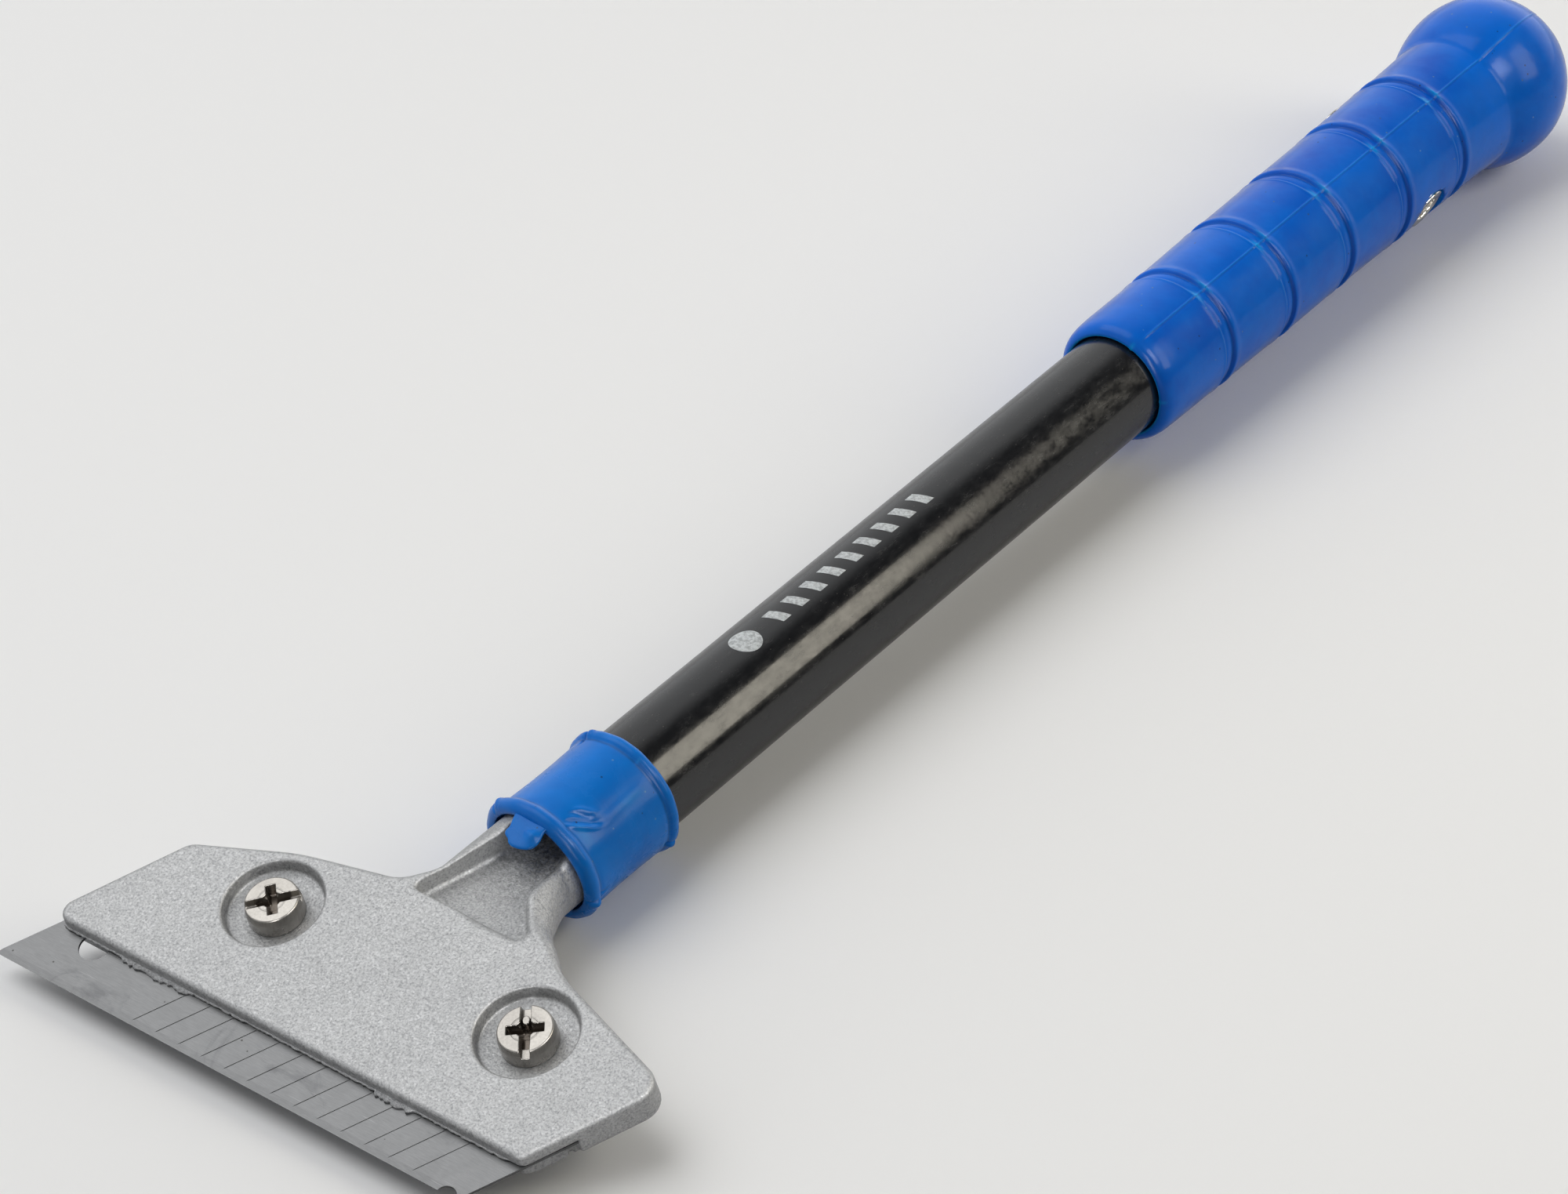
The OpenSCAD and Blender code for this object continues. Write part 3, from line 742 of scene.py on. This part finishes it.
# ---------------------------------------------------------------- torn flap that hangs from the collar
# Outline in the head's x and y, and the layers from its underside to its top as (share of the outline, height)
edge = np.array([(-3.0, 36.2), (-2.7, 33.9), (-2.3, 32.6), (-1.9, 31.6), (-2.35, 30.8), (-1.7, 30.0),
                 (-0.75, 29.75), (-0.45, 29.1), (0.4, 28.75), (1.4, 28.75), (2.6, 29.0), (3.7, 29.5),
                 (4.3, 30.2), (4.55, 31.2), (4.4, 32.3), (4.1, 33.2), (4.3, 34.2), (4.6, 36.2)])
centre = np.array([1.2, 32.0])
FLAP_LAYERS = ((0.35, 0.0), (0.8, 0.0), (0.97, 0.05), (1.0, 0.3),
               (0.98, 0.55), (0.86, 0.66), (0.6, 0.70), (0.3, 0.72))
layers = []
for share, lift in FLAP_LAYERS:
    q = centre + (edge - centre) * share
    sag = -1.0 - 0.10 * np.maximum(34.5 - q[:, 1], 0) - 0.012 * (q[:, 0] - 1.0) ** 2
    bump = 0.9 * bell(q[:, 0] - 2.9, 0.9) * bell(q[:, 1] - 31.6, 0.9) * (lift > 0.4)
    layers.append(head(np.stack([q[:, 0], q[:, 1], sag + lift + bump], 1)))
verts, faces = tube_mesh(np.stack(layers))
tone = np.full(len(verts), 0.08)
tone[-2:] = 0
flap = piece("collar_flap", verts, faces, "handle", collar_rubber, tone=tone)
finer = flap.modifiers.new("round", "SUBSURF")
finer.levels = finer.render_levels = 2

# ---------------------------------------------------------------- grip
GRIP_FROM, BALL_R, GRIP_LEN = 201.5, 17.5, 150.0
FRONT_R, BACK_R = 12.6, 14.0
BALL_AT = GRIP_LEN - BALL_R
WAIST = BALL_AT - 19
JOIN, LONGER = 10.0, 1.18                       # the ball is a little longer toward the head
PITCH, FIRST, COUNT = 20.5, 20.9, 5
GROOVES = [FIRST + PITCH * i for i in range(COUNT)]
SEAM = 25.0


def taper(s):
    """Radius of the grip's plain body."""
    return FRONT_R + (BACK_R - FRONT_R) * s / WAIST


def ring_detail(s):
    """Shallow band with a small step down and a larger step up to the next segment."""
    d = np.zeros_like(s)
    for g in GROOVES:
        d += -0.42 * smooth(g - 1.75, g - 1.35, s) * smooth(g + 1.55, g + 1.2, s)
        d += (-0.22 * bell(s - (g + 1.05), 0.35) + 0.10 * bell(s - (g - 1.9), 0.35)
              + 0.16 * bell(s - (g + 2.1), 0.9))
        d += -0.12 * bell(s - (g - 0.9), 0.3)
    return d


fine = [np.linspace(g - 2.6, g + 3.6, 34) for g in GROOVES]
body_s = np.unique(np.round(np.concatenate(
    [np.linspace(6, WAIST - 4, 60)] + fine), 3))
body_s = body_s[np.concatenate([[True], np.diff(body_s) > 0.05])]
# The rolled mouth, as (height over the tube, place along the grip)
MOUTH = ((0.34, 0.30), (0.42, 0.12), (0.58, 0.03), (0.80, 0.0), (1.05, 0.10), (1.32, 0.27), (1.62, 0.52),
         (1.90, 0.85), (2.12, 1.25), (2.30, 1.75), (2.44, 2.40), (2.54, 3.20), (2.60, 4.20), (2.63, 5.20))
front = [(TUBE_R + rise, q) for rise, q in MOUTH]
outer = [(taper(q), q) for q in body_s]
join_r = math.sqrt(BALL_R ** 2 - JOIN ** 2)
neck = []
for t in np.linspace(0, 1, 16)[1:]:
    w = t * t * (3 - 2 * t)
    neck.append((taper(WAIST) * (1 - w) + join_r * w, WAIST - 4 + (BALL_AT - LONGER * JOIN - WAIST + 4) * t))
ball = [(BALL_R * math.sin(a), BALL_AT + BALL_R * math.cos(a) * (LONGER if a > math.pi / 2 else 1))
        for a in np.linspace(math.acos(-JOIN / BALL_R), 0.02, 40)[1:]]
outside = np.array(front + outer + neck + ball)
BORE_END = TUBE_TO - GRIP_FROM + 0.5
inside = np.array([(0.4, BORE_END), (TUBE_R + LOOSE, BORE_END), (TUBE_R + LOOSE, 60.0), (TUBE_R + LOOSE, 3.0),
                   (TUBE_R + 0.28, 1.0)])
uniform = np.linspace(0, 360, 240, endpoint=False)
seams = [SEAM + 180 * k + d for k in (0, 1) for d in np.arange(-3, 3.01, 0.3)]
deg = np.unique(np.round(np.concatenate([uniform, seams]) % 360, 2))
deg = deg[np.concatenate([[True], np.diff(deg) > 0.15])][None, :]
off_seam = (deg - SEAM + 90) % 180 - 90
r, s = outside[:, :1] + 0 * deg, outside[:, 1:] + 0 * deg
along = (s > 5) & (s < WAIST)
r = r + np.where(along, ring_detail(s), 0)
on_body = smooth(1.0, 5.0, s) * smooth(BALL_AT + BALL_R - 0.2, BALL_AT + BALL_R - 3, s)
arc = np.radians(off_seam) * np.maximum(r, 1)
seam_line = bell(arc, 0.20)
r = r + on_body * 0.10 * seam_line - on_body * 0.05 * bell(arc - 0.45, 0.25)
tone = 0.30 * bell(arc, 0.14) * on_body
# blobs of flash where the seam crosses each ring, and on each ring a painted highlight on the edge of its small
# step down and painted shade at the foot of its step up
shifts = rng.random((COUNT, 4))
for i, g in enumerate(GROOVES):
    for k, (side, reach) in enumerate(((-1.0, 1.5), (1.6, 1.9))):
        blob = (bell(s - g - side - 0.5 * (shifts[i, k] - 0.5), 0.55)
                * bell(arc - 1.2 * (shifts[i, k + 2] - 0.7), reach))
        r = r + 0.30 * blob
        tone = tone + 0.75 * blob
    tone = tone - 0.5 * bell(s - (g + 1.15), 0.26) + 0.30 * bell(s - (g - 1.7), 0.25)
# hand-worn waves, and the rolled lip's small tags
r = r + on_body * 0.05 * np.sin(np.radians(2 * deg + 30)) * np.sin(s / 9.0)
r = r + on_body * 0.035 * np.sin(np.radians(5 * deg)) * np.sin(s / 5.0 + 1)
tone = tone + 0.9 * smooth(0.6, 0.2, s) * smooth(TUBE_R + 0.85, TUBE_R + 0.55, r)
tag = bell(deg - 22, 2.0) * bell(s - 0.1, 0.5) + 0.7 * bell(deg - 88, 1.6) * bell(s - 0.1, 0.5)
r = r - 0.22 * tag * smooth(TUBE_R + 1.4, TUBE_R + 0.6, r)
tone = tone + 0.7 * tag
bulge = smooth(WAIST, BALL_AT - 4, s) * smooth(BALL_AT + 16, BALL_AT + 2, s)
top = handle(np.maximum(r, 0), GRIP_FROM + s, np.radians(deg))
top = top + (0.45 * bulge)[..., None] * X
under = handle(inside[:, :1], GRIP_FROM + inside[:, 1:], np.radians(deg))
points = np.concatenate([top, under])
cols = points.shape[1]
verts = points.reshape(-1, 3)
faces = rings(points.shape[:2], False)
rows_top, rows_all = len(top), len(points)
faces = [f for f in faces if f[0] // cols != rows_top - 1]
verts = np.vstack([verts, top[-1].mean(0) + AXIS * 0.02, under[0].mean(0)])
pole, floor_pole = rows_all * cols, rows_all * cols + 1
for k in range(cols):
    m = (k + 1) % cols
    faces.append(((rows_top - 1) * cols + k, (rows_top - 1) * cols + m, pole))
    faces.append((rows_top * cols + m, rows_top * cols + k, floor_pole))
    faces.append(((rows_all - 1) * cols + k, (rows_all - 1) * cols + m, m, k))
full_tone = np.concatenate([tone.reshape(-1), np.zeros(under.shape[0] * cols + 2)])
grip = piece("grip_rubber", verts, faces, "handle", grip_rubber, stands_for=("grip",),
             tone=full_tone)
for shape in (bar_across(HOLE_R, -20, 20), bar_across(RECESS_R, RECESS_FROM, 20),
              bar_across(RECESS_R, -20, -RECESS_FROM)):
    cut(grip, *shape)

# ---------------------------------------------------------------- eyelet
half = mounts["hang_hole"]["dims"]["length_mm"] / 2
EYE_R, EYE_BORE, FLANGE_R = 3.4, 2.8, 4.6
ROLL, RIM = 0.45, 0.3                            # radii of the bore's rolled edge and of the flange's rim
loop = []
for side in (1, -1):
    arcs = [(EYE_BORE + ROLL - ROLL * math.cos(a), half - ROLL + ROLL * math.sin(a))
            for a in np.linspace(0, math.pi / 2, 7)]
    arcs += [(FLANGE_R - RIM + RIM * math.sin(a), half - RIM + RIM * math.cos(a))
             for a in np.linspace(0, math.pi, 9)]
    arcs += [(EYE_R + 0.15, half - 0.6), (EYE_R, half - 0.75)]
    loop += [(q, side * w) for q, w in (arcs if side > 0 else arcs[::-1])]
spin = np.linspace(0, 2 * math.pi, 72, endpoint=False)
rr, aa = np.array(loop).T
points = across(rr[:, None], aa[:, None], spin[None, :])
piece("eyelet_ring", points.reshape(-1, 3), rings(points.shape[:2], True), "handle",
      eyelet_steel, stands_for=("hang_eyelet",))

# ---------------------------------------------------------------- white print on the tube: a row of plain marks
PRINT_LIFT, PRINT_TURN, PRINT_FROM = 0.04, math.radians(-2.0), 88.0
DOT_R = 3.0
BARS, BAR_PITCH, BAR_WIDTH, BAR_HALF, BAR_LEAN = 9, 5.2, 2.2, 2.0, 1.2


def print_mark(name, outline):
    """A thin raised patch on the tube from an outline of (s, arc) in mm, arc measured from the middle line."""
    outline = np.array(outline, float)
    middle = outline.mean(0)
    rows = []
    for lift, share in ((0, 1.0), (PRINT_LIFT, 1.0), (PRINT_LIFT, 0.6), (PRINT_LIFT, 0.3), (PRINT_LIFT, 0.05)):
        q = middle + (outline - middle) * share
        rows.append(handle(TUBE_R + lift, q[:, 0], PRINT_TURN + q[:, 1] / TUBE_R))
    verts, faces = tube_mesh(np.stack(rows))
    piece(name, verts, faces, "handle", print_white, flat=True)


print_mark("print_dot", [(PRINT_FROM + DOT_R + DOT_R * math.cos(a), DOT_R * math.sin(a))
                         for a in np.linspace(0, 2 * math.pi, 36, endpoint=False)])
arcs = (-BAR_HALF, -0.7, 0.7, BAR_HALF)
bar = [(0, -BAR_HALF)] + [(BAR_WIDTH, q) for q in arcs] + [(0, q) for q in arcs[:0:-1]]
for i in range(BARS):
    s_at = PRINT_FROM + 10 + BAR_PITCH * i
    print_mark(f"print_bar_{i}", [(s_at + p + BAR_LEAN * (q + BAR_HALF) / 4, q) for p, q in bar])

# ---------------------------------------------------------------- floor, light and camera
floor_f = Finish("floor")
seen = floor_f.node("ShaderNodeLightPath").outputs["Is Camera Ray"]
floor_paint = floor_f.finish(Base_Color=floor_f.mix(seen, (0.60, 0.60, 0.61), (0.93, 0.93, 0.93)),
                             Roughness=0.7, Specular_IOR_Level=0.2)
FLOOR_HALF, FLOOR_Z = 3.0, -0.0002
mesh = bpy.data.meshes.new("floor")
mesh.from_pydata([(-FLOOR_HALF, -FLOOR_HALF, 0), (FLOOR_HALF, -FLOOR_HALF, 0), (FLOOR_HALF, FLOOR_HALF, 0),
                  (-FLOOR_HALF, FLOOR_HALF, 0)], [], [(0, 1, 2, 3)])
mesh.materials.append(floor_paint)
floor = bpy.data.objects.new("floor", mesh)
floor.location.z = FLOOR_Z
bpy.context.scene.collection.objects.link(floor)


def studio(lit, dim, back_wall, seen):
    """World colours: lit at the left, dim at the right, back_wall at the back, and seen to the camera."""
    world = bpy.data.worlds.new("studio")
    bpy.context.scene.world = world
    world.use_nodes = True
    tree = world.node_tree
    way = tree.nodes.new("ShaderNodeSeparateXYZ")
    tree.links.new(tree.nodes.new("ShaderNodeTexCoord").outputs["Generated"], way.inputs[0])

    def fade(axis, start, end):
        made = tree.nodes.new("ShaderNodeMapRange")
        made.interpolation_type = "SMOOTHSTEP"
        for socket, value in zip(made.inputs[1:5], (start, end, 0.0, 1.0)):
            socket.default_value = value
        tree.links.new(way.outputs[axis], made.inputs[0])
        return made.outputs[0]

    def mix(share, a, b):
        made = tree.nodes.new("ShaderNodeMix")
        made.data_type = "RGBA"
        tree.links.new(share, made.inputs[0])
        for socket, shade in ((made.inputs[6], a), (made.inputs[7], b)):
            if isinstance(shade, tuple):
                socket.default_value = (*shade, 1)
            else:
                tree.links.new(shade, socket)
        return made.outputs[2]

    room = mix(fade("X", -0.34, 0.10), lit, dim)
    room = mix(fade("Y", 0.70, 0.92), room, back_wall)
    to_camera = tree.nodes.new("ShaderNodeLightPath").outputs["Is Camera Ray"]
    tree.links.new(mix(to_camera, room, seen), tree.nodes["Background"].inputs[0])


studio((0.72, 0.73, 0.74), (0.07, 0.07, 0.075), (1.2, 1.2, 1.19), (0.95, 0.95, 0.95))


def softbox(name, way, far, size, radiance, colour=(1, 1, 1), side=(1, 0, 0), aim=(0, 0, 0.015)):
    """A rectangular light in the direction way from aim, its first side along side."""
    light = bpy.data.lights.new(name, "AREA")
    light.shape = "RECTANGLE"
    light.size, light.size_y = size
    light.energy = radiance * math.pi * size[0] * size[1]
    light.color = colour
    obj = bpy.data.objects.new(name, light)
    out = Vector(way).normalized()
    across = (Vector(side) - out * out.dot(Vector(side))).normalized()
    turn = Matrix((across, out.cross(across), out)).transposed().to_4x4()
    turn.translation = Vector(aim) + out * far
    obj.matrix_world = turn
    bpy.context.scene.collection.objects.link(obj)
    return obj


# A tall box at the right rear makes the tube's long reflection. Two lamps that are seen only in reflections
# make the ball's bright patches.
softbox("rear_right", (0.705, 0.47, 0.52), 1.3, (0.80, 0.48), 4.6, (1.0, 0.94, 0.80), side=(0.63, 0, -0.77))
softbox("ceiling", (-0.45, -0.12, 0.88), 1.4, (1.35, 1.1), 1.75)
NEAR_BALL = (0, 0.17, 0.0175)
for lamp in (softbox("right_high", (0.68, -0.19, 0.705), 1.1, (0.42, 0.50), 11, aim=NEAR_BALL),
             softbox("front_right", (0.41, -0.87, 0.29), 1.1, (0.20, 0.55), 11, aim=NEAR_BALL)):
    lamp.visible_diffuse = False

# The camera looks from the front right, above: turned from +Y, raised, and rolled a little
CAM_TURN, CAM_RISE, CAM_ROLL = math.radians(38.794), math.radians(36.292), math.radians(-2.045)
AIM, DISTANCE = Vector((-0.005655, -0.045084, 0.012)), 0.83345
FOCAL, SENSOR = 108, 36
forward = Vector((-math.sin(CAM_TURN) * math.cos(CAM_RISE), math.cos(CAM_TURN) * math.cos(CAM_RISE),
                  -math.sin(CAM_RISE)))
level = forward.cross(Vector((0, 0, 1))).normalized()
over = level.cross(forward)
right = level * math.cos(CAM_ROLL) + over * math.sin(CAM_ROLL)
top_way = over * math.cos(CAM_ROLL) - level * math.sin(CAM_ROLL)
lens = bpy.data.cameras.new("camera")
lens.lens, lens.sensor_width, lens.clip_start = FOCAL, SENSOR, 0.01
camera = bpy.data.objects.new("camera", lens)
stand = Matrix((right, top_way, -forward)).transposed().to_4x4()
stand.translation = AIM - forward * DISTANCE
camera.matrix_world = stand
bpy.context.scene.collection.objects.link(camera)
bpy.context.scene.camera = camera
bpy.context.scene.view_settings.view_transform = "Standard"
